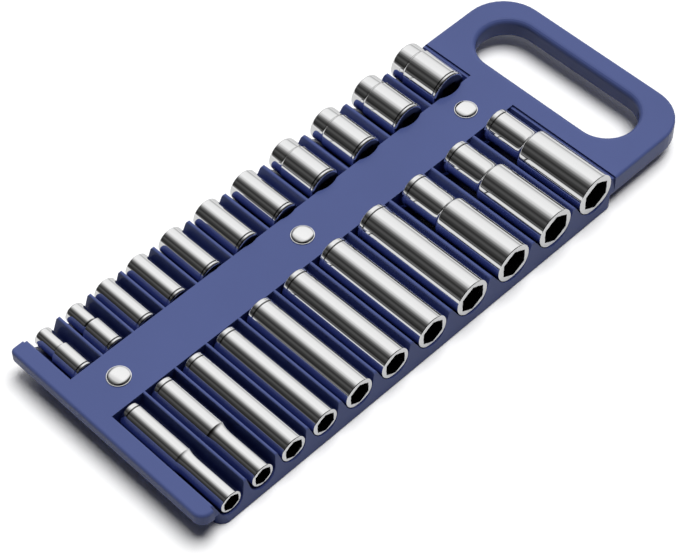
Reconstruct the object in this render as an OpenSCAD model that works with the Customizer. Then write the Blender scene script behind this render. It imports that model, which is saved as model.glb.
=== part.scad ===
// Carry tray with a spine down the middle and two rows of pockets.
// Eleven deep and eleven short quarter-inch drive sockets lie in the pockets,
// held down by magnet strips under the pocket floors. A cover closes the
// underside and three rivets through the spine clamp it to the tray.
// Origin: middle of the footprint, on the table. X runs along the tray to
// the handle, Y across it to the short row, Z up.

/* [Tray] */
// Width of the solid margin at the end away from the handle
margin_w = 6.85; // [6.5:0.05:7.5]
// Thickness of that margin, which overhangs the body
margin_t = 6; // [4.5:0.5:7]
// Corner radius of the margin on the deep side
margin_front_r = 4.5; // [3:0.5:5]
// Corner radius of the margin on the short side
margin_back_r = 2; // [2:0.5:5]
// Rounding of the plate's outer edges
edge_r = 1.2; // [0.6:0.1:1.5]
// How far the row's open ends reach into the margin outside the rib tips
margin_notch = 1; // [0:0.1:1.5]

/* [Handle] */
// Length of the handle past the last pocket
handle_l = 43.95; // [40:0.05:60]
// Thickness of the handle plate
handle_t = 9; // [6:0.5:9.5]
// Corner radius of the handle on the deep side
handle_front_r = 16; // [12:0.5:20]
// Corner radius of the handle on the short side
handle_back_r = 18; // [12:0.5:20]
// Width of the grip opening
grip_w = 25.1; // [22:0.1:28]
// Width of the handle at each end of the grip opening
grip_end = 11.3; // [8:0.1:15]
// Width of the bar outside the grip opening
grip_bar = 9.1; // [7:0.1:10]
// Shift of the grip opening towards the short side
grip_shift = 0.6; // [-1:0.1:1]
// Rounding of the rim of the grip opening
grip_rim_r = 2.2; // [0.8:0.1:2.5]

/* [Body] */
// Distance from the first pocket's rib line in to the body's end
body_inset = 1.1; // [0.6:0.1:1.2]
// Distance from the last pocket's rib line in to the body's end under the handle
body_end_inset = 0.5; // [0:0.1:0.8]
// Radius of the body's upright corners
body_r = 4.5; // [3:0.5:5]
// How far the margin and the toe of the body stand out past the row's edge
toe = 0.8; // [0.4:0.1:1]
// Distance from the row's edge to the rib tips, deep side
rib_end_front = 1.6; // [1:0.1:2]
// Distance from the row's edge to the rib tips, short side
rib_end_back = 0.9; // [0.6:0.1:1.5]
// Width of the rounding at the ribs' ends
tip_w = 0.85; // [0.5:0.05:1]
// Height of that rounding
tip_h = 1.5; // [0.8:0.1:2]
// Rounding of the toe
toe_r = 0.6; // [0.3:0.1:1]

/* [Pockets] */
// Width of the spine between the two rows
spine_w = 21.8; // [21:0.1:22]
// Spacing of the pockets, from the margin to the handle
pocket_w = [14.4, 14.3, 14.4, 15.4, 17.1, 17.8, 19.4, 20.8, 22, 22.1, 21.5]; // [14:0.1:23]
// Thickness of the ribs at their tips
rib_t = 1; // [0.8:0.1:1.2]
// Depth of the lowest point of the socket mouths below the top face
mouth_drop = 9.4; // [9:0.1:9.5]
// Thickness of the pocket floors over the magnet strips
floor_t = 1.5; // [1.2:0.1:2.3]
// Gap between a socket and its pocket floor
floor_gap = 0.1; // [0.05:0.05:0.2]
// Extra radius of a pocket's round bottom
pocket_gap = 0.35; // [0.3:0.05:0.5]
// Gap between the spine and the drive end of the longest deep socket
deep_end_gap = 0.4; // [0.3:0.1:1]
// Gap between the spine and the drive ends of the short sockets
short_end_gap = 0.8; // [0.5:0.1:1.5]
// Distance from the row's edge in to the mouths of the deep sockets
deep_mouth_inset = 0.1; // [0:0.1:0.5]
// Distance that the short sockets stand out past the row's edge
short_overhang = 0.4; // [0.2:0.1:0.6]
// Rounding of the rib tips
rib_tip_r = 0.45; // [0.3:0.05:0.48]
// Width and depth of the ledge along the last pockets
ledge = 0.8; // [0.5:0.1:1.5]
// Radius of the finger scallops in the spine
scallop_r = 11; // [8:0.5:12]
// Diameter of the largest short socket that needs no scallop
scallop_from_d = 10.4; // [10.4:0.1:12]
// Depth of a scallop for each millimetre of socket diameter past that
scallop_rate = 0.275; // [0.1:0.025:0.4]

/* [Deep sockets] */
// Lengths of the deep sockets
deep_l = [50.9, 50.6, 50.5, 50.5, 50.5, 50.6, 50.5, 50.5, 50.2, 50.2, 50.2]; // [49:0.1:51]
// Diameter of the deep sockets at the mouth
deep_mouth_d = [8.8, 9.4, 10.6, 11, 12.3, 12.8, 13.7, 15.1, 15.9, 16.5, 17.1]; // [8.8:0.1:17.4]
// Diameter of the deep sockets at the drive end
deep_drive_d = [10.1, 11, 10.6, 11, 12.3, 12.8, 13.7, 15.1, 13.3, 13.3, 13.2]; // [10:0.1:17.4]
// Length of the wide barrel on the two smallest
barrel_l = 27.4; // [22:0.1:29]
// Length of the hollow flare from that barrel to the nose
barrel_flare_l = 7; // [3:0.5:8]
// Length of the narrow drive end on the three largest
stem_l = 15.8; // [14:0.1:17]
// Length of the hollow curve from that drive end to the wide barrel
stem_curve_l = 2.6; // [0.8:0.1:3]
// Length of the wide barrel's rounded shoulder
stem_shoulder_l = 1.3; // [0.5:0.1:1.5]
// Share of the widening that this shoulder takes
stem_shoulder_share = 0.5; // [0.3:0.05:0.7]

/* [Short sockets] */
// Length of the short sockets
short_l = 23.7; // [23:0.1:24]
// Diameter of the short sockets
short_d = [9.2, 9.7, 9.9, 10.3, 11.1, 12, 12.6, 14.4, 14.7, 15.4, 16.3]; // [9.2:0.1:17]
// Diameter of the nose on the two smallest
nose_d = [7.6, 8.3]; // [7.6:0.1:8.6]
// Diameter of the neck groove on those two
neck_d = 6.8; // [6.8:0.1:7.2]
// Distance from the drive end to the neck groove
neck_pos = 13.7; // [12.5:0.1:14]
// Length of the slope from the barrel down into the neck groove
neck_slope_l = 0.6; // [0.4:0.1:1.2]
// Length of the round curve from the neck groove up to the nose
neck_curve_l = 2.6; // [0.8:0.1:3]
// Distance from the drive end to the shoulder on the four largest
shoulder_pos = 16.9; // [16:0.1:18]
// Depth of the hollow waist past the shoulder
waist_depth = 0.75; // [0.6:0.05:0.8]
// Length of the curve from the shoulder down to the waist
waist_l = 0.9; // [0.5:0.1:1.2]
// Length of the curve from the waist up to the lip
lip_rise_l = 3; // [1:0.1:4]
// How far the lip stays inside the barrel's radius
lip_drop = 0.5; // [0.4:0.05:0.6]
// Rounding of the nose of a short socket, across and along its axis
nose_round = [0.35, 0.9]; // [0.3:0.05:1]

/* [Openings of the sockets] */
// Distance across the flats of the hexagon mouths
hex_af = [6.4, 6.7, 7.3, 7.6, 8.4, 8.9, 9.4, 10.4, 10.9, 11.4, 11.5]; // [5.7:0.05:11.6]
// Distance across the flats of the two smallest short sockets
small_hex_af = [5.8, 6.1]; // [5.7:0.05:6.2]
// Depth of the hexagon in the deep sockets
deep_hex_depth = 16; // [8:0.5:30]
// Depth of the hexagon in the short sockets
short_hex_depth = 8.5; // [6:0.5:8.5]
// Width of the drive square
drive_sq = 6.4; // [6.35:0.05:6.45]
// Depth of the drive square
drive_depth = 9; // [8:0.5:10]
// Diameter across the drive square's rounded corners
drive_corner_d = 8.3; // [8.2:0.1:8.4]

/* [Rivets] */
// Distance of each rivet from the first pocket's rib line
rivet_pos = [12.5, 100, 185.3]; // [12:0.05:186]
// Diameter of the rivet heads
rivet_head_d = 9.1; // [8:0.1:9.5]
// Height of the rivet heads
rivet_head_h = 1.3; // [1:0.1:1.8]
// Diameter of the rivet shanks
rivet_d = 3.2; // [3:0.1:4]
// Diameter of the formed tail under the cover
rivet_tail_d = 6; // [5:0.1:6.5]
// Height of that tail
rivet_tail_h = 0.8; // [0.5:0.1:0.9]
// Width and height of the thin rim around a rivet's dome
rivet_rim = 0.35; // [0.2:0.05:0.5]

/* [Cover and magnets] */
// Thickness of the cover
cover_t = 1.2; // [1:0.1:1.4]
// Width of the tray's rim around the cover
cover_rim = 2; // [1.8:0.1:3]
// Thickness of the magnet strips
magnet_t = 1.5; // [1:0.1:1.6]
// Width of the magnet strips
magnet_w = 12.7; // [10:0.1:13]
// Distance from the cover's front edge to the strip under the deep mouths
mouth_magnet_inset = 3.2; // [3:0.1:6]
// Distance from the spine to the strip under the deep drive ends
drive_magnet_inset = 6; // [5:0.1:7]
// Distance from the cover's back edge to the strip under the short row
short_magnet_inset = 4.3; // [3:0.1:6]
// Distance from the ends of the body to the ends of the strips
magnet_end_inset = 5; // [4:0.5:10]
// Gap around the cover, the magnets and the rivet shanks
fit_gap = 0.05; // [0.05:0.05:0.1]

/* [Hidden] */
SIZES = [0:len(pocket_w) - 1];
DEEP_NAMES = [for (i = SIZES) str("deep_socket_", i + 1)];
SHORT_NAMES = [for (i = SIZES) str("short_socket_", i + 1)];
MAGNET_NAMES = ["magnet_strip_mouths", "magnet_strip_drives", "magnet_strip_short_row"];
$fn = 64;

// Overrun of the cuts, and the steps of the rounded outlines
over = 1;
arc_steps = 4;
pocket_steps = 10;
dome_steps = 8;

// Sockets: roundings of the ends, ring groove near the drive end, lead-in of
// the mouth, small edge of a shoulder, and the steps of the barrel's flare
drive_round = 0.8;
mouth_round = [0.4, 0.4];
deep_ring_pos = 2.4;
short_ring_pos = 1.5;
ring_w = 0.3;
ring_depth = 0.25;
lead_in = 0.15;
lead_slope = 0.9;
shoulder_edge = 0.15;
flare_steps = 6;

// Plates: how far they lap over the rows, and their corners there
plate_lap = 2 * pocket_w[0];
lap_r = 2;

function sum_to(list, count) = count <= 0 ? 0 : list[count - 1] + sum_to(list, count - 1);

// The tray's length follows from its pockets, its width from the sockets, and
// its height from the cover, the magnets, the pocket floors and the sockets
tray_h = cover_t + magnet_t + floor_t + floor_gap + mouth_drop;
tray_l = margin_w + sum_to(pocket_w, len(pocket_w)) + handle_l;
deep_pocket_l = deep_mouth_inset + max(deep_l) + deep_end_gap;
short_pocket_l = short_end_gap + short_l - short_overhang;
tray_w = deep_pocket_l + spine_w + short_pocket_l;

// Places along X
left_x = -tray_l / 2;
right_x = tray_l / 2;
row_x = left_x + margin_w;
row_end = right_x - handle_l;
body_left = row_x + body_inset;
body_right = row_end - body_end_inset;
body_l = body_right - body_left;
grip_x = right_x - grip_bar - grip_w / 2;

function pocket_x(i) = row_x + sum_to(pocket_w, i) + pocket_w[i] / 2;

// Places along Y
edge_y = tray_w / 2;
toe_y = edge_y + toe;
spine_front = deep_pocket_l - edge_y;
spine_back = spine_front + spine_w;
spine_y = (spine_front + spine_back) / 2;
short_y = spine_back + short_end_gap;

// Sockets: radii and heights
function deep_big_r(i) = max(deep_mouth_d[i], deep_drive_d[i]) / 2;
function deep_y(i) = deep_mouth_inset + deep_l[i] - edge_y;
function deep_axis_z(i) = tray_h - mouth_drop + deep_mouth_d[i] / 2;
function short_axis_z(i) = tray_h - mouth_drop + short_d[i] / 2;
function short_hex(i) = i < len(small_hex_af) ? small_hex_af[i] : hex_af[i];

function reversed(list) = [for (k = [len(list) - 1:-1:0]) list[k]];

// A quarter turn of rounding from [r, z] of a side wall to the flat face
function edge_arc(r, z, e, up) =
    [for (k = [0:arc_steps])
        let (a = 90 * k / arc_steps)
        [r - e * (1 - cos(a)), z - up * e * (1 - sin(a))]];

// Round disc of a plate's corner, rounded top and bottom
module corner_disc(r, t, e) {
    lower = reversed(edge_arc(r, 0, e, -1));
    upper = edge_arc(r, t, e, 1);
    rotate_extrude($fn = 40)
        polygon(concat([[0, 0]], lower, upper, [[0, t]]));
}

// Flat plate from x0 to x1 across the tray, out to y on both sides, with a
// radius for each corner
module plate(x0, x1, y, radii, t) {
    translate([0, 0, tray_h - t])
        hull() {
            translate([x0 + radii[0], -y + radii[0], 0]) corner_disc(radii[0], t, edge_r);
            translate([x0 + radii[1], y - radii[1], 0]) corner_disc(radii[1], t, edge_r);
            translate([x1 - radii[2], -y + radii[2], 0]) corner_disc(radii[2], t, edge_r);
            translate([x1 - radii[3], y - radii[3], 0]) corner_disc(radii[3], t, edge_r);
        }
}

// Upright block with round corners, from [x0, y0] to [x1, y1]
module round_block(x0, x1, y0, y1, r, h) {
    translate([x0 + r, y0, 0]) cube([x1 - x0 - 2 * r, y1 - y0, h]);
    translate([x0, y0 + r, 0]) cube([x1 - x0, y1 - y0 - 2 * r, h]);
    for (x = [x0 + r, x1 - r], y = [y0 + r, y1 - r])
        translate([x, y, 0]) cylinder(h = h, r = r);
}

// End wall seen from the side: rounded toe, sloping face, rounded rib end
function end_wall(tip) = concat(
    [for (k = [arc_steps:-1:0])
        let (a = 90 * k / arc_steps)
        [toe_y - toe_r * (1 - cos(a)), toe_r * (1 - sin(a))]],
    [for (k = [arc_steps:-1:0])
        let (a = 90 * k / arc_steps)
        [tip + tip_w * sin(a), tray_h - tip_h * (1 - cos(a))]]);
front_tip = edge_y - rib_end_front;
back_tip = edge_y - rib_end_back;

// Body under the plate, with its sloping end walls
module body_block() {
    front = [for (p = end_wall(front_tip)) [-p[0], p[1]]];
    back = end_wall(back_tip);
    outline = concat(reversed(front), back);
    intersection() {
        translate([body_left, 0, 0])
            rotate([90, 0, 90])
                linear_extrude(height = body_l) polygon(outline);
        round_block(body_left, body_right, -toe_y, toe_y, body_r, tray_h);
    }
}

// Clears the plates outside the rib tips, between the margin and the handle
module row_ends_cut() {
    row_l = row_end - row_x + margin_notch;
    for (side = [-1, 1]) {
        wall = end_wall(side < 0 ? front_tip : back_tip);
        outline = concat([for (p = wall) [side * p[0], p[1]]],
            [[side * wall[len(wall) - 1][0], tray_h + over],
             [side * (toe_y + over), tray_h + over],
             [side * (toe_y + over), -over],
             [side * wall[0][0], -over]]);
        translate([row_x - margin_notch, 0, 0])
            rotate([90, 0, 90])
                linear_extrude(height = row_l) polygon(outline);
    }
}

// Half of a pocket's outline from its lowest point: round bottom under the
// socket, straight flank up to the rib, and the rounding of the rib's tip
function pocket_side(top_half, bottom_r, axis_z) =
    let (rise = tray_h - axis_z,
         tangent = atan2(rise, top_half) - acos(min(1, bottom_r / norm([top_half, rise]))),
         turn = 90 + tangent,
         lean = (top_half - bottom_r * cos(tangent)) / (rise - bottom_r * sin(tangent)))
    concat(
        [for (k = [0:pocket_steps])
            let (a = turn * k / pocket_steps - 90)
            [bottom_r * cos(a), axis_z + bottom_r * sin(a)]],
        [for (k = [0:arc_steps])
            let (a = 90 * k / arc_steps)
            [top_half - lean * rib_tip_r * (1 - sin(a)) + rib_tip_r * (1 - cos(a)),
             tray_h - rib_tip_r * (1 - sin(a))]],
        [[top_half + rib_tip_r, tray_h + over]]);

// One pocket between two ribs; the first one has the margin in place of a rib,
// so it opens half a rib wider there
module pocket(i, y0, y1, r, floor_z) {
    top_half = (pocket_w[i] - rib_t) / 2;
    margin_half = top_half + (i == 0 ? rib_t / 2 : 0);
    bottom_r = r + pocket_gap;
    right_side = pocket_side(top_half, bottom_r, floor_z + bottom_r);
    left_side = pocket_side(margin_half, bottom_r, floor_z + bottom_r);
    translate([pocket_x(i), y1, 0])
        rotate([90, 0, 0])
            linear_extrude(height = y1 - y0)
                polygon(concat(right_side,
                    [for (k = [len(left_side) - 1:-1:1]) [-left_side[k][0], left_side[k][1]]]));
}

module deep_pocket(i) {
    r = deep_big_r(i);
    floor_z = deep_axis_z(i) - r - floor_gap;
    pocket(i, -toe_y - over, spine_front, r, floor_z);
}

// Shallow ledge between the last rib line and the handle plate
module handle_ledge() {
    for (span = [[-toe_y - over, spine_front], [spine_back, toe_y + over]])
        translate([row_end - rib_t / 2 - over, span[0], tray_h - ledge])
            cube([ledge + over, span[1] - span[0], ledge + over]);
}

module short_pocket(i) {
    r = short_d[i] / 2;
    floor_z = short_axis_z(i) - r - floor_gap;
    pocket(i, spine_back, toe_y + over, r, floor_z);
    scallop = scallop_rate * (short_d[i] - scallop_from_d);
    if (scallop > 0)
        intersection() {
            translate([pocket_x(i), spine_back - scallop + scallop_r, floor_z])
                cylinder(h = tray_h, r = scallop_r);
            translate([pocket_x(i) - scallop_r, spine_back - scallop_r, 0])
                cube([2 * scallop_r, scallop_r + pocket_gap, tray_h + over]);
        }
}

// Grip opening with rounded rims: one side wall seen in section
module grip_opening() {
    r = grip_w / 2;
    z0 = tray_h - handle_t;
    lower = [for (k = [0:arc_steps])
        let (a = 90 * k / arc_steps)
        [r + grip_rim_r * (1 - sin(a)), z0 + grip_rim_r * (1 - cos(a))]];
    upper = [for (k = [0:arc_steps])
        let (a = 90 * k / arc_steps)
        [r + grip_rim_r * (1 - cos(a)), tray_h - grip_rim_r * (1 - sin(a))]];
    wall = concat([[r + grip_rim_r, z0 - over]], lower, upper, [[r + grip_rim_r, tray_h + over]]);
    half_run = edge_y - grip_end - r;
    translate([grip_x, grip_shift, 0]) {
        for (side = [-1, 1])
            translate([0, side * half_run, 0])
                rotate_extrude()
                    polygon(concat([[0, z0 - over]], wall, [[0, tray_h + over]]));
        translate([0, half_run, 0])
            rotate([90, 0, 0])
                linear_extrude(height = 2 * half_run)
                    polygon(concat(wall, [for (p = reversed(wall)) [-p[0], p[1]]]));
    }
}

// Magnet strips: the front edge of each one
cover_y = toe_y - cover_rim;
magnet_y = [-cover_y + mouth_magnet_inset, spine_front - drive_magnet_inset - magnet_w,
            cover_y - short_magnet_inset - magnet_w];
magnet_x0 = body_left + magnet_end_inset;
magnet_l = body_l - 2 * magnet_end_inset;

module magnet_space(i, gap) {
    translate([magnet_x0 - gap, magnet_y[i] - gap, cover_t])
        cube([magnet_l + 2 * gap, magnet_w + 2 * gap, magnet_t + gap]);
}

// Cover: its outline, its raised pads and the recesses for the rivet tails
pad_h = 1;
pad_r = 5;
tail_recess_r = rivet_tail_d / 2 + 0.4;

module cover_space(gap) {
    round_block(body_left + cover_rim - gap, body_right - cover_rim + gap,
        -cover_y - gap, cover_y + gap, body_r - 1, cover_t);
    at_rivets(0) cylinder(h = cover_t + pad_h, r = pad_r + gap);
}

module at_rivets(z) {
    for (p = rivet_pos)
        translate([row_x + p, spine_y, z]) children();
}

// Cells under the spine, with cross webs between them and a boss at each rivet
cell_wall = 1.8;
cell_count = 12;
cell_top = 2;
boss_r = 6.5;

module spine_cells() {
    x0 = body_left + 2 * cell_wall;
    pitch = (body_right - 2 * cell_wall - x0) / cell_count;
    y0 = spine_front + cell_wall;
    y1 = spine_back - 2 * cell_wall;
    difference() {
        for (k = [0:cell_count - 1])
            translate([x0 + k * pitch + cell_wall / 2, y0, 0])
                cube([pitch - cell_wall, y1 - y0, tray_h - cell_top]);
        at_rivets(-over) cylinder(h = tray_h + 2 * over, r = boss_r);
    }
}

module tray() {
    color([0.16, 0.21, 0.42])
        difference() {
            union() {
                plate(left_x, row_x + plate_lap, toe_y,
                    [margin_front_r, margin_back_r, lap_r, lap_r], margin_t);
                plate(row_end - plate_lap, right_x, edge_y,
                    [lap_r, lap_r, handle_front_r, handle_back_r], handle_t);
                body_block();
            }
            row_ends_cut();
            for (i = SIZES) {
                deep_pocket(i);
                short_pocket(i);
            }
            handle_ledge();
            grip_opening();
            for (i = [0:len(MAGNET_NAMES) - 1])
                magnet_space(i, fit_gap);
            translate([0, 0, -over]) cover_space(fit_gap);
            cover_space(fit_gap);
            spine_cells();
            at_rivets(-over) cylinder(h = tray_h + 2 * over, r = rivet_d / 2 + fit_gap);
        }
}

module cover() {
    color([0.13, 0.17, 0.34])
        difference() {
            cover_space(0);
            at_rivets(-over) cylinder(h = cover_t + pad_h + 2 * over, r = rivet_d / 2 + fit_gap);
            at_rivets(-over) cylinder(h = pad_h + over, r = tail_recess_r);
        }
}

// Low domed head, flat in its middle and steep at its thin rim, shank, and
// flat formed tail
module rivet() {
    head_r = rivet_head_d / 2;
    tail_r = rivet_tail_d / 2;
    shank_r = rivet_d / 2;
    dome_h = rivet_head_h - rivet_rim;
    dome_r = head_r - rivet_rim;
    dome = [for (k = [0:dome_steps])
        let (a = 90 * k / dome_steps)
        [dome_r * cos(a), tray_h + rivet_rim + dome_h * sin(a)]];
    rotate_extrude()
        polygon(concat(
            [[0, pad_h - rivet_tail_h], [tail_r, pad_h - rivet_tail_h], [tail_r, pad_h],
             [shank_r, pad_h], [shank_r, tray_h], [head_r, tray_h],
             [head_r, tray_h + rivet_rim]],
            dome));
}

module rivets() {
    color([0.82, 0.83, 0.84])
        at_rivets(0) rivet();
}

module magnet_strip(i) {
    color([0.12, 0.12, 0.13])
        magnet_space(i, 0);
}

// Outline of a socket from its rounded drive end to its rounded mouth, with
// the ring groove
function socket_outline(r0, ring_pos, middle, r1, l, rounding) = concat(
    [[0, 0]],
    [for (k = [0:arc_steps])
        let (a = 90 * k / arc_steps)
        [r0 - drive_round * (1 - sin(a)), drive_round * (1 - cos(a))]],
    [[r0, ring_pos - ring_w], [r0 - ring_depth, ring_pos], [r0, ring_pos + ring_w]],
    middle,
    [for (k = [0:arc_steps])
        let (a = 90 * k / arc_steps)
        [r1 - rounding[0] * (1 - cos(a)), l - rounding[1] * (1 - sin(a))]],
    [[0, l]]);

// Hollow curve from the narrow end outwards, then the wide barrel's rounded shoulder
function stem_curve(r0, r1) =
    let (shoulder = stem_shoulder_share * (r1 - r0), fillet = r1 - r0 - shoulder)
    concat(
        [for (k = [0:arc_steps])
            let (a = 90 * k / arc_steps)
            [r0 + fillet * (1 - cos(a)), stem_l + stem_curve_l * sin(a)]],
        [for (k = [1:arc_steps])
            let (a = 90 * k / arc_steps)
            [r1 - shoulder * (1 - sin(a)), stem_l + stem_curve_l + stem_shoulder_l * (1 - cos(a))]]);

// Sharp edge at the barrel's end, then a hollow flare down to the nose
function barrel_flare(r0, r1) =
    [for (k = [0:flare_steps])
        let (rest = 1 - k / flare_steps)
        [r1 + (r0 - r1) * pow(rest, 4), barrel_l + barrel_flare_l * (1 - rest)]];

function deep_middle(r0, r1) = r0 > r1 ? barrel_flare(r0, r1) : r0 < r1 ? stem_curve(r0, r1) : [];

// Socket along its own axis: turned outline, hexagon, bore and drive square
module socket(outline, l, af, hex_depth) {
    difference() {
        rotate_extrude() polygon(outline);
        translate([0, 0, l - hex_depth])
            rotate([0, 0, 30]) cylinder(h = hex_depth + over, d = af / cos(30), $fn = 6);
        translate([0, 0, l - lead_in])
            cylinder(h = lead_in + over, r1 = af / 2, r2 = af / 2 + (lead_in + over) * lead_slope);
        translate([0, 0, drive_depth - over])
            cylinder(h = l - hex_depth - drive_depth + 2 * over, d = af);
        intersection() {
            translate([-drive_sq / 2, -drive_sq / 2, -over])
                cube([drive_sq, drive_sq, drive_depth + over]);
            translate([0, 0, -over]) cylinder(h = drive_depth + over, d = drive_corner_d);
        }
    }
}

module deep_socket(i) {
    r0 = deep_drive_d[i] / 2;
    r1 = deep_mouth_d[i] / 2;
    outline = socket_outline(r0, deep_ring_pos, deep_middle(r0, r1), r1, deep_l[i], mouth_round);
    color([0.78, 0.79, 0.8])
        translate([pocket_x(i), deep_y(i), deep_axis_z(i)])
            rotate([90, 0, 0])
                socket(outline, deep_l[i], hex_af[i], deep_hex_depth);
}

// Small short sockets have a neck groove and a round nose past it
function necked_outline(r, nose_r) =
    let (neck_r = neck_d / 2)
    socket_outline(r, short_ring_pos, concat(
        [[r, neck_pos - neck_slope_l - shoulder_edge],
         [r - shoulder_edge, neck_pos - neck_slope_l]],
        [for (k = [0:arc_steps])
            let (a = 90 * k / arc_steps)
            [neck_r + (nose_r - neck_r) * sin(a), neck_pos + neck_curve_l * (1 - cos(a))]]),
        nose_r, short_l, nose_round);

// Large short sockets have a sharp shoulder, a hollow waist and a rounded lip
function shouldered_outline(r) =
    let (waist_r = r - waist_depth, lip_r = r - lip_drop, start_r = r - shoulder_edge)
    socket_outline(r, short_ring_pos, concat(
        [[r, shoulder_pos - shoulder_edge]],
        [for (k = [0:arc_steps])
            let (a = 90 * k / arc_steps)
            [start_r - (start_r - waist_r) * sin(a), shoulder_pos + waist_l * (1 - cos(a))]],
        [for (k = [1:arc_steps])
            let (a = 90 * k / arc_steps)
            [waist_r + (lip_r - waist_r) * sin(a),
             shoulder_pos + waist_l + lip_rise_l * (1 - cos(a))]]),
        lip_r, short_l, nose_round);

// The last socket of the row that keeps one diameter along its length
last_plain = 6;

module short_socket(i) {
    r = short_d[i] / 2;
    outline = i < len(nose_d) ? necked_outline(r, nose_d[i] / 2)
        : i > last_plain ? shouldered_outline(r)
        : socket_outline(r, short_ring_pos, [], r, short_l, mouth_round);
    color([0.78, 0.79, 0.8])
        translate([pocket_x(i), short_y, short_axis_z(i)])
            rotate([-90, 0, 0])
                socket(outline, short_l, short_hex(i), short_hex_depth);
}

tray();
cover();
rivets();
for (i = [0:len(MAGNET_NAMES) - 1])
    magnet_strip(i);
for (i = SIZES) {
    deep_socket(i);
    short_socket(i);
}
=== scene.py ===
# %% [markdown]
# # A magnetic socket tray, dressed for its picture
# The tray is one blue moulding with eleven deep and eleven short chrome
# sockets lying in its pockets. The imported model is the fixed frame: it says
# where every piece is. This file keeps the moulded parts from that frame,
# turns new sockets and rivets around the same axes with much finer outlines,
# and gives each finish its own nodes.

import math

import bmesh
import bpy
from mathutils import Matrix, Vector


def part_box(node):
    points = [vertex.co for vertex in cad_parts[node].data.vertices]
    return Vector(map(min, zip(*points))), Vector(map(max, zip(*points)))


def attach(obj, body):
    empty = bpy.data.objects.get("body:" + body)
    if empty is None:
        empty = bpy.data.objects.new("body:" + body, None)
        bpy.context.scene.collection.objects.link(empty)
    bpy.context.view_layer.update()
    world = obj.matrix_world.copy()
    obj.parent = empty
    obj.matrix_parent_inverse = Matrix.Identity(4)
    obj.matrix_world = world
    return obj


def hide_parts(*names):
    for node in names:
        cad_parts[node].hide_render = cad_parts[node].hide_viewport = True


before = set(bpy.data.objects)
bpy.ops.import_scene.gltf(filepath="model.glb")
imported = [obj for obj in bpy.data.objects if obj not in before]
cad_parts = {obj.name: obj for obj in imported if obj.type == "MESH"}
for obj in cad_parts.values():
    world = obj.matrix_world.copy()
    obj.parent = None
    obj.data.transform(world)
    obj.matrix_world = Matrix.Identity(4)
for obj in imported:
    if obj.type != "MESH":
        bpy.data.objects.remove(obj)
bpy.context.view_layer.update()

MM = 0.001
ROW_COUNT = 11
DEEP = [f"deep_socket_{i + 1}" for i in range(ROW_COUNT)]
SHORT = [f"short_socket_{i + 1}" for i in range(ROW_COUNT)]
MAGNETS = ["magnet_strip_mouths", "magnet_strip_drives", "magnet_strip_short_row"]
TOP_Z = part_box("tray")[1].z

print(len(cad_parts), "nodes; top of the tray at", round(TOP_Z / MM, 2), "mm")

# %% [markdown]
# ## The camera
# The picture is a product view from the deep sockets' side, about 52 degrees
# above the table, with a long lens. A camera is easiest to place by the point
# it looks at, two angles, a roll and a distance, so those are the values here.
# The roll is small: it is the tilt of a camera that was not quite level.

# %% Place the camera
AIM = Vector((-23.147, -10.367, 13.7)) * MM
CAMERA_DISTANCE = 772.629 * MM
AZIMUTH = math.radians(-42.973)
ELEVATION = math.radians(51.939)
ROLL = math.radians(-1.986)
LENS = 115.848
SENSOR = 36


def camera_axes(azimuth, elevation, roll):
    """Right, up and back of a camera that looks at the object from these angles."""
    back = Vector((math.sin(azimuth) * math.cos(elevation),
                   -math.cos(azimuth) * math.cos(elevation), math.sin(elevation)))
    right = Vector((math.cos(azimuth), math.sin(azimuth), 0))
    up = back.cross(right)
    rolled_right = math.cos(roll) * right + math.sin(roll) * up
    return rolled_right, back.cross(rolled_right), back


camera_data = bpy.data.cameras.new("camera")
camera_data.lens = LENS
camera_data.sensor_width = SENSOR
camera_data.sensor_fit = "HORIZONTAL"
camera_data.clip_start = 0.01
camera = bpy.data.objects.new("camera", camera_data)
bpy.context.scene.collection.objects.link(camera)
right, up, back = camera_axes(AZIMUTH, ELEVATION, ROLL)
pose = Matrix((right, up, back)).transposed().to_4x4()
pose.translation = AIM + back * CAMERA_DISTANCE
camera.matrix_world = pose
bpy.context.scene.camera = camera

print("camera at", [round(v, 3) for v in camera.location])

# %% [markdown]
# ## Building node trees without clutter
# Every material below is a handful of nodes. Small helpers keep the code
# short: one adds a node and sets its inputs, one opens a new shader group with
# named sockets, and the others mix colours, fade values and wire a shader. An
# input that is given a socket is linked, and an input that is given a number
# or a colour is set.

# %% Helpers for nodes
def input_of(node, key):
    """An input by its name, with underscores for spaces, or by its number, as in n6."""
    if key[0] == "n" and key[1:].isdigit():
        return node.inputs[int(key[1:])]
    return node.inputs[key.replace("_", " ")]


def put(tree, kind, props=None, **inputs):
    """Adds a node, sets its properties and links or sets its inputs."""
    node = tree.nodes.new(kind)
    for key, value in (props or {}).items():
        setattr(node, key, value)
    for key, value in inputs.items():
        socket = input_of(node, key)
        if isinstance(value, bpy.types.NodeSocket):
            tree.links.new(value, socket)
        else:
            socket.default_value = value
    return node


def new_group(name, inputs, outputs):
    """An empty shader group. Inputs and outputs are (name, type, default) and (name, type)."""
    tree = bpy.data.node_groups.new(name, "ShaderNodeTree")
    for label, kind, default in inputs:
        socket = tree.interface.new_socket(name=label, in_out="INPUT", socket_type=kind)
        socket.default_value = default
    for label, kind in outputs:
        tree.interface.new_socket(name=label, in_out="OUTPUT", socket_type=kind)
    return tree, tree.nodes.new("NodeGroupInput"), tree.nodes.new("NodeGroupOutput")


def math_node(tree, operation, a, b=None, clamp=False):
    """A Math node with one or two inputs; gives its output socket."""
    node = tree.nodes.new("ShaderNodeMath")
    node.operation = operation
    node.use_clamp = clamp
    for index, value in enumerate((a, b)):
        if isinstance(value, bpy.types.NodeSocket):
            tree.links.new(value, node.inputs[index])
        elif value is not None:
            node.inputs[index].default_value = value
    return node.outputs[0]


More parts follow.
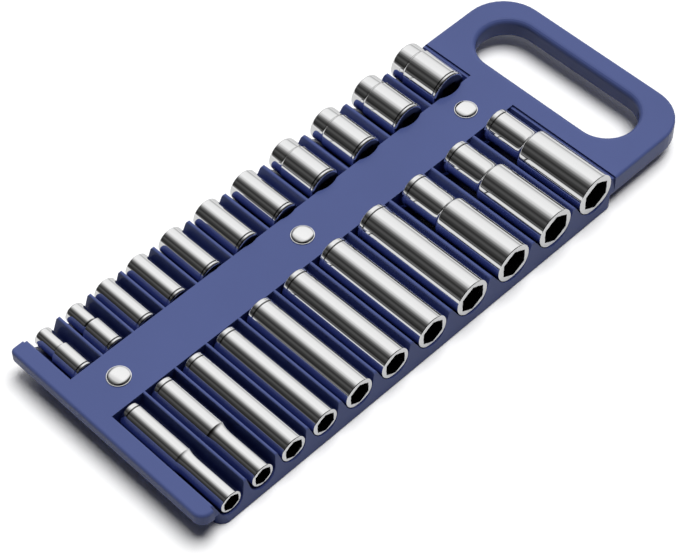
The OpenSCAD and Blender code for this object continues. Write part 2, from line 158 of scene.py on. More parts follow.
def fade(tree, value, start, end, first, last):
    """A smooth change from first to last while value runs from start to end."""
    return put(tree, "ShaderNodeMapRange", {"interpolation_type": "SMOOTHSTEP"}, Value=value,
               From_Min=start, From_Max=end, To_Min=first, To_Max=last).outputs[0]


def blend(tree, share, first, second):
    """Mixes two colours: all first where share is zero, and all second where it is one."""
    return put(tree, "ShaderNodeMix", {"data_type": "RGBA"}, n0=share, n6=first, n7=second).outputs[2]


def tinted(colour, factor):
    """A colour made darker or paler by a factor."""
    return [min(1.0, c * factor) for c in colour[:3]] + [1.0]


def object_place(tree):
    """The place of a point in its piece's own coordinates."""
    return put(tree, "ShaderNodeTexCoord").outputs["Object"]


def place_group(tree, group, **inputs):
    """Puts a shader group into a material's tree, with its own values."""
    return put(tree, "ShaderNodeGroup", {"node_tree": group}, **inputs)


def new_material(name):
    """A material with a fresh Principled BSDF; gives the material, its tree and the shader."""
    material = bpy.data.materials.new(name)
    material.use_nodes = True
    tree = material.node_tree
    tree.nodes.clear()
    shader = tree.nodes.new("ShaderNodeBsdfPrincipled")
    output = tree.nodes.new("ShaderNodeOutputMaterial")
    tree.links.new(shader.outputs[0], output.inputs["Surface"])
    return material, tree, shader


def wire(tree, shader, colour, roughness, normal):
    """Links the three things that every finish here varies over the surface."""
    tree.links.new(colour, shader.inputs["Base Color"])
    tree.links.new(roughness, shader.inputs["Roughness"])
    tree.links.new(normal, shader.inputs["Normal"])


print("node helpers ready")

# %% [markdown]
# ## Uneven gloss
# No real surface has one roughness all over. Handling, cleaning and the
# mould's own polish leave soft patches, with a finer speckle inside them.
# Two noises, one broad and one fine, are mixed into a roughness around a
# middle value. The same group serves plastic and chrome with other values.

# %% Group: uneven gloss
PATCH_SHARE = 0.7
NOISE_MIDDLE = 0.5


def uneven_gloss():
    tree, given, out = new_group(
        "uneven_gloss",
        [("Roughness", "NodeSocketFloat", 0.3), ("Spread", "NodeSocketFloat", 0.1),
         ("Patch Size", "NodeSocketFloat", 40.0), ("Speckle Size", "NodeSocketFloat", 900.0)],
        [("Roughness", "NodeSocketFloat"), ("Patches", "NodeSocketFloat")])
    place = object_place(tree)
    patches = put(tree, "ShaderNodeTexNoise", Vector=place, Detail=3.0,
                  Scale=given.outputs["Patch Size"]).outputs[0]
    speckle = put(tree, "ShaderNodeTexNoise", Vector=place, Detail=2.0,
                  Scale=given.outputs["Speckle Size"]).outputs[0]
    mixed = math_node(tree, "ADD", math_node(tree, "MULTIPLY", patches, PATCH_SHARE),
                      math_node(tree, "MULTIPLY", speckle, 1 - PATCH_SHARE))
    swing = math_node(tree, "MULTIPLY", math_node(tree, "SUBTRACT", mixed, NOISE_MIDDLE),
                      given.outputs["Spread"])
    tree.links.new(math_node(tree, "ADD", given.outputs["Roughness"], swing, clamp=True),
                   out.inputs["Roughness"])
    tree.links.new(patches, out.inputs["Patches"])
    return tree


UNEVEN_GLOSS = uneven_gloss()
print("group", UNEVEN_GLOSS.name)

# %% [markdown]
# ## Softened edges
# Nothing moulded or plated ends in a mathematically sharp edge. A Bevel node
# bends the normals near each edge, so that the edge catches a thin line of
# light. The same node also tells where the edges are: where the bent normal
# leaves the true one, the surface is near an edge, and rubbing shows there.

# %% Group: softened edges
EDGE_RAYS = 6


def softened_edges():
    tree, given, out = new_group(
        "softened_edges",
        [("Radius", "NodeSocketFloat", 0.0003), ("Sharpness", "NodeSocketFloat", 6.0)],
        [("Normal", "NodeSocketVector"), ("Edge", "NodeSocketFloat")])
    bent = put(tree, "ShaderNodeBevel", {"samples": EDGE_RAYS}, Radius=given.outputs["Radius"])
    true = put(tree, "ShaderNodeNewGeometry").outputs["Normal"]
    agree = put(tree, "ShaderNodeVectorMath", {"operation": "DOT_PRODUCT"},
                n0=bent.outputs[0], n1=true).outputs["Value"]
    away = math_node(tree, "SUBTRACT", 1.0, agree)
    tree.links.new(math_node(tree, "MULTIPLY", away, given.outputs["Sharpness"], clamp=True),
                   out.inputs["Edge"])
    tree.links.new(bent.outputs[0], out.inputs["Normal"])
    return tree


SOFT_EDGES = softened_edges()
print("group", SOFT_EDGES.name)

# %% [markdown]
# ## Fine grain
# Moulded plastic takes the texture of its mould: a very fine, shallow grain
# that breaks up reflections. The cover and the bonded magnet strips have a
# deeper one. The group gives a height for a Bump node, so that each material
# can set how deep the grain is.

# %% Group: fine grain
def fine_grain():
    tree, given, out = new_group(
        "fine_grain",
        [("Grain Size", "NodeSocketFloat", 1500.0), ("Wave Size", "NodeSocketFloat", 60.0),
         ("Wave Share", "NodeSocketFloat", 0.3)],
        [("Height", "NodeSocketFloat")])
    place = object_place(tree)
    grain = put(tree, "ShaderNodeTexNoise", Vector=place, Detail=2.0,
                Scale=given.outputs["Grain Size"]).outputs[0]
    wave = put(tree, "ShaderNodeTexNoise", Vector=place, Detail=1.0,
               Scale=given.outputs["Wave Size"]).outputs[0]
    height = math_node(tree, "ADD", grain,
                       math_node(tree, "MULTIPLY", wave, given.outputs["Wave Share"]))
    tree.links.new(height, out.inputs["Height"])
    return tree


FINE_GRAIN = fine_grain()
print("group", FINE_GRAIN.name)

# %% [markdown]
# ## Painted shade in hollows
# An Ambient Occlusion node says how much of the surroundings a point sees
# within a short reach. The group turns that into a mask that is one in a
# hollow and zero in the open. The plastics use it to paint shade into their
# colour: a deeper blue in the pockets, round the sockets and near the table.

# %% Group: painted shade in hollows
SHADE_RAYS = 6


def painted_hollow_shade():
    tree, given, out = new_group(
        "painted_hollow_shade",
        [("Reach", "NodeSocketFloat", 0.006), ("Closed", "NodeSocketFloat", 0.2),
         ("Open", "NodeSocketFloat", 0.75)],
        [("Hollow", "NodeSocketFloat")])
    # The mask marks where painted shade goes: one where the surroundings are hidden, as in pockets and
    # round the sockets.
    seen = put(tree, "ShaderNodeAmbientOcclusion", {"samples": SHADE_RAYS},
               Distance=given.outputs["Reach"]).outputs["AO"]
    tree.links.new(fade(tree, seen, given.outputs["Closed"], given.outputs["Open"], 1.0, 0.0),
                   out.inputs["Hollow"])
    return tree


PAINTED_HOLLOW_SHADE = painted_hollow_shade()
print("group", PAINTED_HOLLOW_SHADE.name)

# %% [markdown]
# ## Moulded plastic
# The tray is injection moulded in a deep blue with a satin face. Its colour
# is nearly even, a little paler where edges are rubbed, and a touch darker in
# soft patches; in its hollows, painted shade turns it a much deeper blue. Its
# gloss is weak, so that the soft box lies on the top face only as a faint veil.
# One function makes both plastics, the tray's and the cover's duller one.

# %% Material: moulded plastic
PATCH_DARK = 0.92
PATCH_PALE = 1.06
RUBBED_SHARE = 0.35
PLASTIC_EDGE_R = 0.3 * MM
SHADE_REACH = 8 * MM
PLASTIC_IOR = 1.5


def moulded_plastic(name, colour, deep, rubbed, roughness, specular, grain_depth):
    material, tree, shader = new_material(name)
    gloss = place_group(tree, UNEVEN_GLOSS, Roughness=roughness, Spread=0.1,
                        Patch_Size=28.0, Speckle_Size=700.0)
    edges = place_group(tree, SOFT_EDGES, Radius=PLASTIC_EDGE_R, Sharpness=4.0)
    grain = place_group(tree, FINE_GRAIN, Grain_Size=2200.0, Wave_Size=90.0, Wave_Share=1.5)
    patchy = blend(tree, gloss.outputs["Patches"], tinted(colour, PATCH_DARK),
                   tinted(colour, PATCH_PALE))
    # Painted shade: where the hollow mask is one, the colour turns to the much darker shade blue, in
    # pockets, round the sockets and near the table.
    painted_shade = place_group(tree, PAINTED_HOLLOW_SHADE, Reach=SHADE_REACH).outputs["Hollow"]
    shaded = blend(tree, painted_shade, patchy, deep)
    edge_share = math_node(tree, "MULTIPLY", edges.outputs["Edge"], RUBBED_SHARE)
    bump = put(tree, "ShaderNodeBump", Strength=0.35, Distance=grain_depth,
               Height=grain.outputs["Height"], Normal=edges.outputs["Normal"])
    wire(tree, shader, blend(tree, edge_share, shaded, rubbed), gloss.outputs["Roughness"],
         bump.outputs[0])
    shader.inputs["IOR"].default_value = PLASTIC_IOR
    shader.inputs["Specular IOR Level"].default_value = specular
    return material


TRAY_BLUE = (0.07, 0.093, 0.24, 1)
# The next, much darker blue is painted shade for the plastics' hollows.
TRAY_SHADE_BLUE = (0.014, 0.023, 0.13, 1)
TRAY_RUBBED = (0.10, 0.13, 0.34, 1)
COVER_BLUE = (0.04, 0.058, 0.19, 1)
tray_plastic = moulded_plastic("tray_plastic", TRAY_BLUE, TRAY_SHADE_BLUE, TRAY_RUBBED,
                               roughness=0.2, specular=0.2, grain_depth=0.02 * MM)
cover_plastic = moulded_plastic("cover_plastic", COVER_BLUE, TRAY_SHADE_BLUE, TRAY_RUBBED,
                                roughness=0.58, specular=0.35, grain_depth=0.06 * MM)
print("plastics", tray_plastic.name, cover_plastic.name)

# %% [markdown]
# ## Bonded magnet
# The strips under the pocket floors are ferrite powder in a binder: nearly
# black, dull, with pale specks where powder shows on the surface.

# %% Material: bonded magnet
FERRITE = (0.028, 0.027, 0.028, 1)
FERRITE_SPECK = (0.12, 0.115, 0.11, 1)
SPECK_R = 0.25
SPECK_SHARE = 0.35
FERRITE_GRAIN_DEPTH = 0.05 * MM


def bonded_magnet():
    material, tree, shader = new_material("magnet")
    gloss = place_group(tree, UNEVEN_GLOSS, Roughness=0.62, Spread=0.25, Patch_Size=60.0,
                        Speckle_Size=1500.0)
    grain = place_group(tree, FINE_GRAIN, Grain_Size=3000.0, Wave_Size=200.0, Wave_Share=0.4)
    cells = put(tree, "ShaderNodeTexVoronoi", Vector=object_place(tree),
                Scale=1800.0).outputs["Distance"]
    specks = put(tree, "ShaderNodeMapRange", Value=cells, From_Min=0.0, From_Max=SPECK_R,
                 To_Min=SPECK_SHARE, To_Max=0.0).outputs[0]
    bump = put(tree, "ShaderNodeBump", Strength=0.5, Distance=FERRITE_GRAIN_DEPTH,
               Height=grain.outputs["Height"])
    wire(tree, shader, blend(tree, specks, FERRITE, FERRITE_SPECK), gloss.outputs["Roughness"],
         bump.outputs[0])
    return material


magnet = bonded_magnet()
print("magnet", magnet.name)

# %% [markdown]
# ## Chrome
# The sockets are turned steel, polished and plated. Chrome has almost no
# colour of its own: what shows is the room, so the metal only needs the right
# brightness, a low roughness, and the marks of its making. Turning leaves
# fine rings around the axis, so a noise that changes only along the axis
# gives them. Inside the openings a second, much darker and duller finish is
# made by the same function: partly the dull broached steel under thin plating,
# partly painted shade that keeps the deep holes black.

# %% Material: chrome
CHROME = (0.88, 0.882, 0.885, 1)
CHROME_WORN = (0.93, 0.93, 0.93, 1)
BORE_STEEL_AND_SHADE = (0.13, 0.13, 0.135, 1)
BORE_WORN = (0.3, 0.3, 0.3, 1)
PLATED = (0.93, 0.93, 0.93, 1)
PLATED_WORN = (0.96, 0.96, 0.96, 1)
TURNING_AXIS = (0, 0, 1)
GLOSS_SPREAD = 0.6
PATCH_DULL = 0.96
WORN_SHARE = 0.5


def chrome(name, colour, worn, roughness, edge_radius, ring_depth):
    material, tree, shader = new_material(name)
    gloss = place_group(tree, UNEVEN_GLOSS, Roughness=roughness, Spread=GLOSS_SPREAD * roughness,
                        Patch_Size=120.0, Speckle_Size=2500.0)
    edges = place_group(tree, SOFT_EDGES, Radius=edge_radius, Sharpness=3.0)
    along = put(tree, "ShaderNodeVectorMath", {"operation": "MULTIPLY"}, n0=object_place(tree),
                n1=TURNING_AXIS).outputs[0]
    rings = put(tree, "ShaderNodeTexNoise", Vector=along, Scale=2600.0, Detail=2.0).outputs[0]
    bump = put(tree, "ShaderNodeBump", Strength=0.25, Distance=ring_depth, Height=rings,
               Normal=edges.outputs["Normal"])
    tone = blend(tree, gloss.outputs["Patches"], tinted(colour, PATCH_DULL), colour)
    edge_share = math_node(tree, "MULTIPLY", edges.outputs["Edge"], WORN_SHARE)
    wire(tree, shader, blend(tree, edge_share, tone, worn), gloss.outputs["Roughness"],
         bump.outputs[0])
    shader.inputs["Metallic"].default_value = 1.0
    return material


socket_chrome = chrome("socket_chrome", CHROME, CHROME_WORN, roughness=0.035,
                       edge_radius=0.04 * MM, ring_depth=0.001 * MM)
# The bore's finish is far darker than bare steel: partly dull broached steel, partly painted shade for
# the deep holes.
socket_bore = chrome("socket_bore", BORE_STEEL_AND_SHADE, BORE_WORN, roughness=0.3,
                     edge_radius=0.1 * MM, ring_depth=0.006 * MM)
rivet_metal = chrome("rivet_metal", PLATED, PLATED_WORN, roughness=0.1,
                     edge_radius=0.08 * MM, ring_depth=0.001 * MM)
print("metals", socket_chrome.name, socket_bore.name, rivet_metal.name)

# %% [markdown]
# ## Turning a socket
# A socket is a body of revolution with a broached hexagon, a round bore and a
# broached square inside. Turned shapes are exact when they are built as rings
# of points around an axis. Here every ring has the same number of points, so
# two neighbouring rings join into clean quads, with a hexagon or a square
# simply being a ring whose radius changes with the angle. The rings run from
# the drive face over the outside to the mouth, and back through the hexagon,
# the bore and the drive square to where they began, which closes the mesh.
# This needs no boolean cuts, so no face is left ragged, and the reflections
# run without a break.

# %% Rings around an axis
RING_POINTS = 144
ARC_STEPS = 6
SHARP_ANGLE = math.radians(18)


def round_ring(radius, z):
    return [(radius, z)] * RING_POINTS


def angle_of(k):
    """Angle of a ring's point. Zero points sideways, and a quarter turn points up."""
    return 2 * math.pi * k / RING_POINTS


def polygon_radius(angle, half_width, sides):
    """Distance from the axis to a regular polygon's side, with the middle of one side at angle zero."""
    step = 2 * math.pi / sides
    folded = (angle + step / 2) % step - step / 2
    return half_width / math.cos(folded)


def arc(r0, z0, r1, z1, starts_along):
    """Points of a quarter ellipse from one place of an outline to another. It starts along the
    axis and ends across it, or the other way round."""
    points = []
    for k in range(ARC_STEPS + 1):
        t = math.pi / 2 * k / ARC_STEPS
        if starts_along:
            points.append((r0 + (r1 - r0) * (1 - math.cos(t)), z0 + (z1 - z0) * math.sin(t)))
        else:
            points.append((r0 + (r1 - r0) * math.sin(t), z0 + (z1 - z0) * (1 - math.cos(t))))
    return points


def mesh_from_rings(name, rings, inside_from):
    """A closed mesh through rings of (radius, z) points. From the ring inside_from on, its faces
    take the second material."""
    verts, faces, inner = [], [], []
    for ring in rings:
        for k, (r, z) in enumerate(ring):
            verts.append((r * math.cos(angle_of(k)), r * math.sin(angle_of(k)), z))
    for j in range(len(rings)):
        below, above = j * RING_POINTS, (j + 1) % len(rings) * RING_POINTS
        for k in range(RING_POINTS):
            nxt = (k + 1) % RING_POINTS
            faces.append((below + k, below + nxt, above + nxt, above + k))
            inner.append(j >= inside_from)
    mesh = bpy.data.meshes.new(name)
    mesh.from_pydata(verts, [], faces)
    mesh.polygons.foreach_set("material_index", [int(v) for v in inner])
    return mesh


print("rings of", RING_POINTS, "points")

# %% [markdown]
# ## Reading a socket from the frame
# Each socket's place and sizes come from the frame's own solid. Its box gives
# the axis and the length, and the distances of its corner points from that
# axis give the radii at both ends. So a change of a socket's place, length or
# width in the model reaches the picture without a second list. The hexagons
# keep a list of their own, because a solid's corner points don't say which
# hole they belong to.

# %% Measure a socket
DEEP_HEX_DEPTH = 16 * MM
SHORT_HEX_DEPTH = 8.5 * MM
HEX_WIDTHS = [6.4, 6.7, 7.3, 7.6, 8.4, 8.9, 9.4, 10.4, 10.9, 11.4, 11.5]
SMALL_SHORT_WIDTHS = [5.8, 6.1]
DRIVE_REACH = 4 * MM
MOUTH_REACH = 1 * MM


def hexagon_width(node):
    """Width across the flats, by the socket's number and row."""
    number = int(node.split("_")[-1])
    small = node in SHORT and number <= len(SMALL_SHORT_WIDTHS)
    return (SMALL_SHORT_WIDTHS if small else HEX_WIDTHS)[number - 1] * MM


def measure_socket(node, towards):
    """Sizes of a socket's solid. towards is +1 where the mouth points to +Y, or -1."""
    low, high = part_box(node)
    axis_x, axis_z = (low.x + high.x) / 2, (low.z + high.z) / 2
    drive_y = low.y if towards > 0 else high.y
    length = high.y - low.y
    rows = []
    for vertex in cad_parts[node].data.vertices:
        point = vertex.co
        rows.append(((point.y - drive_y) * towards,
                     math.hypot(point.x - axis_x, point.z - axis_z)))
    return {
        "axis": Vector((axis_x, drive_y, axis_z)), "towards": towards, "length": length,
        "drive_r": max(r for t, r in rows if t < DRIVE_REACH),
        "mouth_r": max(r for t, r in rows if t > length - MOUTH_REACH),
        "hex_half": hexagon_width(node) / 2,
        "hex_depth": DEEP_HEX_DEPTH if node in DEEP else SHORT_HEX_DEPTH}


SIZES = {name: measure_socket(name, -1) for name in DEEP}
SIZES.update({name: measure_socket(name, 1) for name in SHORT})
for name in ("deep_socket_1", "deep_socket_11", "short_socket_1", "short_socket_11"):
    size = SIZES[name]
    print(name, "drive", round(2 * size["drive_r"] / MM, 2), "mouth",
          round(2 * size["mouth_r"] / MM, 2), "hexagon", round(2 * size["hex_half"] / MM, 2))

# %% [markdown]
# ## Outlines of the sockets
# All sockets start with a rounded drive end and a thin ring groove that
# marks it. What follows differs. The two smallest deep ones end their wide
# barrel at a sharp edge and flare down to a slim nose, fast at first and then
# slower and slower. The three largest have a slim drive end, a hollow curve
# and a rounded shoulder. The two smallest short ones have a neck groove that
# swells to the nose, and the four largest a sharp shoulder, a hollow waist
# and a rounded lip. Each outline is a list of radius and height.

# %% Outline of the outside
DRIVE_ROUND = 0.8 * MM
MOUTH_ROUND = (0.4 * MM, 0.4 * MM)
NOSE_ROUND = (0.35 * MM, 0.9 * MM)
DEEP_GROOVE_AT = 2.4 * MM
SHORT_GROOVE_AT = 1.5 * MM
GROOVE_HALF = 0.3 * MM
GROOVE_DEPTH = 0.25 * MM
BARREL_L = 27.4 * MM
FLARE_L = 7 * MM
FLARE_STEPS = 16
STEM_L = 15.8 * MM
STEM_CURVE_L = 2.6 * MM
STEM_SHOULDER_L = 1.3 * MM
STEM_SHOULDER_SHARE = 0.5
NECK_AT = 13.7 * MM
NECK_R = 3.4 * MM
NECK_SLOPE_L = 0.6 * MM
NECK_CURVE_L = 2.6 * MM
SHOULDER_AT = 16.9 * MM
SHOULDER_EDGE = 0.15 * MM
WAIST_DEPTH = 0.75 * MM
WAIST_L = 0.9 * MM
LIP_RISE_L = 3 * MM
BARE_EDGE = 0.03 * MM
SAME_R = 0.1 * MM


def drive_end(r, groove_at):
    """Rounded end and ring groove, up to where the barrel runs plain."""
    groove = [(r, groove_at - GROOVE_HALF), (r - GROOVE_DEPTH, groove_at),
              (r, groove_at + GROOVE_HALF)]
    return arc(r - DRIVE_ROUND, 0, r, DRIVE_ROUND, False) + groove


def flare(r0, r1):
    """From the wide barrel's sharp edge down to the slim nose."""
    points = [(r0, BARREL_L - BARE_EDGE)]
    for k in range(FLARE_STEPS + 1):
        rest = 1 - k / FLARE_STEPS
        points.append((r1 + (r0 - r1) * rest ** 4, BARREL_L + FLARE_L * (1 - rest)))
    return points


def swell(r0, r1):
    """From the slim drive end through a hollow curve and a rounded shoulder to the wide barrel."""
    top = r1 - STEM_SHOULDER_SHARE * (r1 - r0)
    start = STEM_L + STEM_CURVE_L
    return arc(r0, STEM_L, top, start, True) + arc(
        top, start, r1, start + STEM_SHOULDER_L, False)[1:]


def neck(r0, r1):
    """From the barrel down a short slope into the neck groove, and round up to the nose."""
    return [(r0, NECK_AT - NECK_SLOPE_L - SHOULDER_EDGE), (r0 - SHOULDER_EDGE, NECK_AT - NECK_SLOPE_L)
            ] + arc(NECK_R, NECK_AT, r1, NECK_AT + NECK_CURVE_L, False)


def shoulder(r0, r1):
    """From the barrel over a sharp shoulder into the hollow waist, and round up to the lip."""
    waist_r, start = r0 - WAIST_DEPTH, SHOULDER_AT + WAIST_L
    return [(r0, SHOULDER_AT - SHOULDER_EDGE)] + arc(
        r0 - SHOULDER_EDGE, SHOULDER_AT, waist_r, start, False) + arc(
        waist_r, start, r1, start + LIP_RISE_L, False)[1:]


def middle_of(name, size):
    """What lies between the ring groove and the mouth."""
    r0, r1 = size["drive_r"], size["mouth_r"]
    number = int(name.split("_")[-1])
    if name in DEEP and r0 > r1 + SAME_R:
        return flare(r0, r1)
    if name in DEEP and r1 > r0 + SAME_R:
        return swell(r0, r1)
    if name in SHORT and number <= len(SMALL_SHORT_WIDTHS):
        return neck(r0, r1)
    if name in SHORT and r0 > r1 + SAME_R:
        return shoulder(r0, r1)
    return []


print("outlines ready")

# %% [markdown]
# ## Openings of the sockets
# The hexagon has a corner pointing up, as the sockets lie in the photograph,
# and a shallow lead-in cone at the mouth. Where the cone meets a flat it
# leaves an arc, and the ring's own points give it for free: at each angle the
# cone ends where its radius reaches the flat. The drive square has rounded
# corners. Between the two runs a round bore. It follows the hexagon's width,
# except where it would come out about as wide as the drive square: there a
# slimmer bore keeps clear of the square's corners.

# %% One socket as rings
LEAD_IN = 0.15 * MM
LEAD_SLOPE = 0.9
DRIVE_HALF = 3.2 * MM
DRIVE_CORNER_R = 4.15 * MM
DRIVE_DEPTH = 9 * MM
DRIVE_LEAD = 0.25 * MM
SLIM_BORE_R = 3.1 * MM
TIGHT_BORE_R = 3 * MM
CORNER_CLEARANCE = 0.02 * MM
HEX_CORNER_SHARE = 0.99
BORE_STEP = 0.05 * MM
HEX_END_CONE = 0.8 * MM
DRIVE_END_CONE = 0.4 * MM
FACE_MIN_W = 0.02 * MM
MERGE_DISTANCE = 0.002 * MM
SHORTEST_EDGE = 0.001 * MM


def hexagon(size, k):
    """Radius of the hexagon at a ring's point, with a corner pointing up and down."""
    flat = polygon_radius(angle_of(k), size["hex_half"], 6)
    return min(flat, size["hex_half"] / math.cos(math.pi / 6) * HEX_CORNER_SHARE)


def square(k, extra=0.0):
    """Radius of the drive square at a ring's point, with its sides level and upright."""
    return min(polygon_radius(angle_of(k), DRIVE_HALF + extra, 4), DRIVE_CORNER_R + extra)


def socket_rings(name, size):
    """All rings of a socket, and the number of the ring at which its inside begins."""
    length, r0, r1 = size["length"], size["drive_r"], size["mouth_r"]
    middle = middle_of(name, size)
    across, along = NOSE_ROUND if name in SHORT and middle else MOUTH_ROUND
    groove_at = SHORT_GROOVE_AT if name in SHORT else DEEP_GROOVE_AT
    outside = drive_end(r0, groove_at) + middle + arc(r1, length - along, r1 - across, length, True)
    rings = [round_ring(r, z) for r, z in outside]
    lead_r = size["hex_half"] + LEAD_IN * LEAD_SLOPE
    face_r = outside[-1][0]
    mouth, lead, wall = [], [], []
    for k in range(RING_POINTS):
        h = hexagon(size, k)
        top = min(max(lead_r, h), face_r - FACE_MIN_W)
        h = min(h, top)
        mouth.append((top, length))
        lead.append((h, length - max(0.0, top - h) / LEAD_SLOPE))
        wall.append((hexagon(size, k), length - size["hex_depth"]))
    rings.append(mouth)
    inside_from = len(rings) - 1
    rings += [lead, wall]
    bore_r = size["hex_half"] - BORE_STEP
    if TIGHT_BORE_R < bore_r < DRIVE_CORNER_R + CORNER_CLEARANCE:
        bore_r = SLIM_BORE_R
    rings += [round_ring(bore_r, length - size["hex_depth"] - HEX_END_CONE),
              round_ring(bore_r, DRIVE_DEPTH + DRIVE_END_CONE),
              [(square(k), DRIVE_DEPTH) for k in range(RING_POINTS)],
              [(square(k), DRIVE_LEAD) for k in range(RING_POINTS)],
              [(square(k, DRIVE_LEAD), 0.0) for k in range(RING_POINTS)]]
    return rings, inside_from


def finish_mesh(mesh):
    """Merges coincident points, and marks edges that turn more than SHARP_ANGLE as sharp."""
    work = bmesh.new()
    work.from_mesh(mesh)
    bmesh.ops.remove_doubles(work, verts=work.verts, dist=MERGE_DISTANCE)
    bmesh.ops.dissolve_degenerate(work, edges=work.edges, dist=SHORTEST_EDGE)
    bmesh.ops.recalc_face_normals(work, faces=work.faces)
    work.to_mesh(mesh)
    work.free()
    mesh.shade_smooth()
    mesh.set_sharp_from_angle(angle=SHARP_ANGLE)


def make_socket(name):
    """One socket, turned around its own Z and laid along the frame's Y, with its mouth outwards."""
    size = SIZES[name]
    rings, inside_from = socket_rings(name, size)
    mesh = mesh_from_rings(name + "_turned", rings, inside_from)
    obj = bpy.data.objects.new(name + "_turned", mesh)
    bpy.context.scene.collection.objects.link(obj)
    mesh.materials.append(socket_chrome)
    mesh.materials.append(socket_bore)
    finish_mesh(mesh)
    sideways = Vector((-size["towards"], 0, 0))
    along = Vector((0, size["towards"], 0))
    matrix = Matrix((sideways, Vector((0, 0, 1)), along)).transposed().to_4x4()
    matrix.translation = size["axis"]
    obj.matrix_world = matrix
    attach(obj, name + "_body")
    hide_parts(name)
    return obj


sockets = {name: make_socket(name) for name in DEEP + SHORT}
print(len(sockets), "sockets;", sum(len(o.data.polygons) for o in sockets.values()), "faces")

# %% [markdown]
# ## Rivets
# Three domed rivets clamp the cover to the tray. Each head is a low dome with
# a thin flat rim, formed in one press stroke. They are rings around an upright
# axis, and all three are one piece of the picture, as they are one node of
# the frame.

# %% Turn the rivets
RIVET_RIM = 0.35 * MM
RIM_ROUND = 0.6 * RIVET_RIM
RIVET_SHANK_R = 1.6 * MM
RIVET_TAIL_R = 3 * MM
RIVET_TAIL_H = 0.8 * MM
TAIL_ROUND = 0.3 * MM
RIVET_SPACING = 20 * MM
DOME_STEPS = 14
POLE_R = 0.02 * MM


def rivet_outline(low_z, high_z, head_r):
    """Radius and height from the tail's middle over the shank to the top of the dome."""
    rim_z = TOP_Z + RIVET_RIM
    dome_r, dome_h = head_r - RIVET_RIM, high_z - rim_z
    dome = [(dome_r * math.cos(a), rim_z + dome_h * math.sin(a))
            for a in [math.pi / 2 * k / DOME_STEPS for k in range(DOME_STEPS)]]
    rim = arc(head_r, rim_z - RIM_ROUND, head_r - RIM_ROUND, rim_z, True)
    tail = arc(RIVET_TAIL_R - TAIL_ROUND, low_z, RIVET_TAIL_R, low_z + TAIL_ROUND, False)
    return [(POLE_R, low_z)] + tail + [
        (RIVET_TAIL_R, low_z + RIVET_TAIL_H), (RIVET_SHANK_R, low_z + RIVET_TAIL_H),
        (RIVET_SHANK_R, TOP_Z), (head_r, TOP_Z)] + rim + dome + [(POLE_R, high_z)]


def make_rivets():
    """All rivets as one piece. Gaps between the solid's points along X tell the rivets apart."""
    low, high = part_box("rivets")
    head_r = (high.y - low.y) / 2
    groups = []
    for x in sorted(v.co.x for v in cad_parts["rivets"].data.vertices):
        if not groups or x - groups[-1][-1] > RIVET_SPACING:
            groups.append([])
        groups[-1].append(x)
    outline = rivet_outline(low.z, high.z, head_r)
    verts, faces = [], []
    for group in groups:
        centre_x, centre_y = (min(group) + max(group)) / 2, (low.y + high.y) / 2
        base = len(verts)
        for r, z in outline:
            verts += [(centre_x + r * math.cos(angle_of(k)), centre_y + r * math.sin(angle_of(k)), z)
                      for k in range(RING_POINTS)]
        for j in range(len(outline) - 1):
            for k in range(RING_POINTS):
                nxt = (k + 1) % RING_POINTS
                a, b = base + j * RING_POINTS, base + (j + 1) * RING_POINTS
                faces.append((a + k, a + nxt, b + nxt, b + k))
        faces.append([base + k for k in reversed(range(RING_POINTS))])
        last = base + (len(outline) - 1) * RING_POINTS
        faces.append([last + k for k in range(RING_POINTS)])
    mesh = bpy.data.meshes.new("rivets_turned")
    mesh.from_pydata(verts, [], faces)
    obj = bpy.data.objects.new("rivets_turned", mesh)
    bpy.context.scene.collection.objects.link(obj)
    mesh.materials.append(rivet_metal)
    finish_mesh(mesh)
    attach(obj, "tray")
    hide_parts("rivets")
    return obj, len(groups)


rivets, rivet_count = make_rivets()
print(rivet_count, "rivets")

# %% [markdown]
# ## Finishes of the moulded parts
# The tray, the cover and the magnet strips keep the frame's own meshes, whose
# shapes are already right. They only get their finishes.

# %% Finish the frame's own pieces
def finish_node(name, material):
    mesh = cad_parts[name].data
    mesh.materials.clear()
    mesh.materials.append(material)


finish_node("tray", tray_plastic)
finish_node("cover", cover_plastic)
for name in MAGNETS:
    finish_node(name, magnet)
print("finished", ["tray", "cover"] + MAGNETS)

# %% [markdown]
# ## The room
# Chrome shows the room, so the room is built from what the sockets show in
# the photograph: one long soft box on the handle's side, from the table up to
# overhead, dimness on the other side, and a pale surround low at the horizon.
# It is all in the world's nodes, where a direction says what is seen there.
# The angle around the sockets' own axis runs through a ramp, because the soft
# box lies along them. It is zero on the handle's side, a quarter overhead and
# a half on the other side. The ramp's stops are pairs of such a turn and a
# brightness. The soft box fades out towards both of its ends.

# %% World: soft box and surround
SOFT_BOX = [(0.0, 0.85), (0.012, 0.82), (0.038, 0.45), (0.066, 0.82), (0.10, 0.93), (0.2, 0.98),
            (0.24, 0.7), (0.272, 0.3), (0.3, 0.1), (0.335, 0.035), (0.37, 0.085),
            (0.405, 0.04), (0.44, 0.02), (0.468, 0.12), (0.488, 0.6), (0.5, 0.9)]
NEAR_END = (-0.25, 0.12)
NEAR_END_LEVEL = 0.06
FAR_END = (0.75, 0.95)
FAR_END_LEVEL = 0.1
HORIZON = (0.03, 0.15)
HORIZON_LEVEL = 0.9
FAR_SIDE = (-0.1, 0.3)
NEAR_SIDE_LEVEL = 0.1


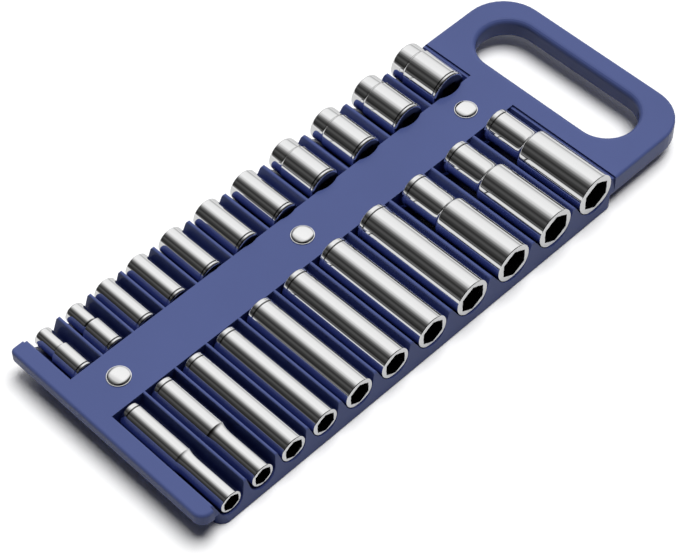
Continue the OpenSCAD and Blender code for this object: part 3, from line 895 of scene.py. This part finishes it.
def build_world():
    """The room that lights the object, and plain white where the camera sees past the floor."""
    world = bpy.data.worlds.new("studio")
    bpy.context.scene.world = world
    world.use_nodes = True
    tree = world.node_tree
    tree.nodes.clear()
    direction = put(tree, "ShaderNodeTexCoord").outputs["Generated"]
    parts = put(tree, "ShaderNodeSeparateXYZ", Vector=direction)
    x, y, z = parts.outputs[0], parts.outputs[1], parts.outputs[2]
    angle = math_node(tree, "ARCTAN2", math_node(tree, "MAXIMUM", z, 0.0), x)
    turn = math_node(tree, "DIVIDE", angle, 2 * math.pi)
    ramp = tree.nodes.new("ShaderNodeValToRGB")
    ramp.color_ramp.interpolation = "EASE"
    stops = ramp.color_ramp.elements
    while len(stops) < len(SOFT_BOX):
        stops.new(0.5)
    for stop, (at, level) in zip(stops, SOFT_BOX):
        stop.position = at
        stop.color = (level, level, level, 1)
    tree.links.new(turn, ramp.inputs[0])
    near_end = fade(tree, y, *NEAR_END, NEAR_END_LEVEL, 1.0)
    far_end = fade(tree, y, *FAR_END, 1.0, FAR_END_LEVEL)
    panel = math_node(tree, "MULTIPLY", ramp.outputs[0],
                      math_node(tree, "MULTIPLY", near_end, far_end))
    low = fade(tree, z, *HORIZON, HORIZON_LEVEL, 0.0)
    far_side = fade(tree, y, *FAR_SIDE, NEAR_SIDE_LEVEL, 1.0)
    level = math_node(tree, "MAXIMUM", panel, math_node(tree, "MULTIPLY", low, far_side))
    seen = put(tree, "ShaderNodeLightPath").outputs["Is Camera Ray"]
    room = put(tree, "ShaderNodeBackground", Color=level, Strength=1.0).outputs[0]
    white = put(tree, "ShaderNodeBackground", Color=(1, 1, 1, 1), Strength=1.0).outputs[0]
    mixed = put(tree, "ShaderNodeMixShader", n0=seen, n1=room, n2=white).outputs[0]
    put(tree, "ShaderNodeOutputWorld", Surface=mixed)
    return world


build_world()
print("room with", len(SOFT_BOX), "stops around the sockets")

# %% [markdown]
# ## Fill light
# The room alone gives the plastic only a part of the light at which a colour
# renders as it is written. A broad, soft lamp from nearly overhead brings the
# rest. It is kept out of reflections, because the metal already sees the soft
# box.

# %% Fill lamp
FILL_STRENGTH = 2.9
FILL_SPREAD = math.radians(38)
FILL_FROM = Vector((0.25, -0.02, 0.97))
lamp_data = bpy.data.lights.new("fill", "SUN")
lamp_data.energy = FILL_STRENGTH
lamp_data.angle = FILL_SPREAD
lamp = bpy.data.objects.new("fill", lamp_data)
bpy.context.scene.collection.objects.link(lamp)
lamp.rotation_mode = "QUATERNION"
lamp.rotation_quaternion = FILL_FROM.to_track_quat("Z", "Y")
lamp.visible_glossy = False
print("fill lamp", FILL_STRENGTH)

# %% [markdown]
# ## Floor
# A white table top carries the object and its shadow. Seen by the camera it
# is fully white where nothing shades it. In reflections, and for light that
# bounces, it is greyer, so that it doesn't flood the tray from below.

# %% Floor
FLOOR_HALF = 6.0
FLOOR_LEVEL = 0.6


def build_floor():
    """A plane at the height that the object stands on, kept out of the object itself."""
    mesh = bpy.data.meshes.new("floor")
    corners = [(-FLOOR_HALF, -FLOOR_HALF, 0), (FLOOR_HALF, -FLOOR_HALF, 0),
               (FLOOR_HALF, FLOOR_HALF, 0), (-FLOOR_HALF, FLOOR_HALF, 0)]
    mesh.from_pydata(corners, [], [(0, 1, 2, 3)])
    floor = bpy.data.objects.new("floor", mesh)
    bpy.context.scene.collection.objects.link(floor)
    material = bpy.data.materials.new("floor_white")
    material.use_nodes = True
    tree = material.node_tree
    tree.nodes.clear()
    path = put(tree, "ShaderNodeLightPath")
    level = math_node(tree, "ADD", FLOOR_LEVEL, math_node(
        tree, "MULTIPLY", path.outputs["Is Camera Ray"], 1 - FLOOR_LEVEL))
    colour = put(tree, "ShaderNodeCombineColor", Red=level, Green=level, Blue=level).outputs[0]
    plain = put(tree, "ShaderNodeBsdfDiffuse", Color=colour).outputs[0]
    put(tree, "ShaderNodeOutputMaterial", Surface=plain)
    mesh.materials.append(material)
    return floor


build_floor()
bpy.context.scene.view_settings.view_transform = "Standard"
print("floor", 2 * FLOOR_HALF, "m wide")
